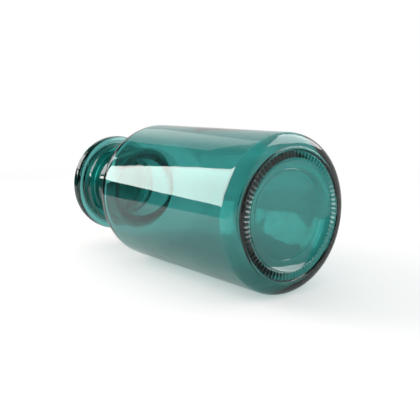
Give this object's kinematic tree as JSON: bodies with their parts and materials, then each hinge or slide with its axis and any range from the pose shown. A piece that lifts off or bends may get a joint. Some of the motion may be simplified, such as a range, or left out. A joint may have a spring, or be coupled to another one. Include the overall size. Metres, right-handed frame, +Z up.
{
  "type": "apothecary vial",
  "caption": "Heavy round glass vial with rounded shoulder, short neck, flanged lip, smooth bearing rim and ribbed hollow base, closed by a low tapered ground glass stopper, lying on its side.",
  "frame": {"origin": "middle of the vial's length, on the line along which its side rests on the surface, as it lies", "axes": "+X along the vial's axis towards its base, so the mouth is at -X, +Y across, +Z up"},
  "size_m": [0.155, 0.072, 0.072],
  "materials": {
    "bottle_glass": "fire-polished transparent teal-green glass",
    "stopper_glass": "transparent teal-green glass with a finely ground plug"
  },
  "bodies": {
    "bottle": {"bottle": "bottle_glass"},
    "stopper": {"stopper": "stopper_glass"}
  },
  "joints": [
    {"name": "stopper_pull", "type": "slide", "parent": "bottle", "child": "stopper", "axis": [-1, 0, 0], "range_m": [0, 0.03]}
  ]
}
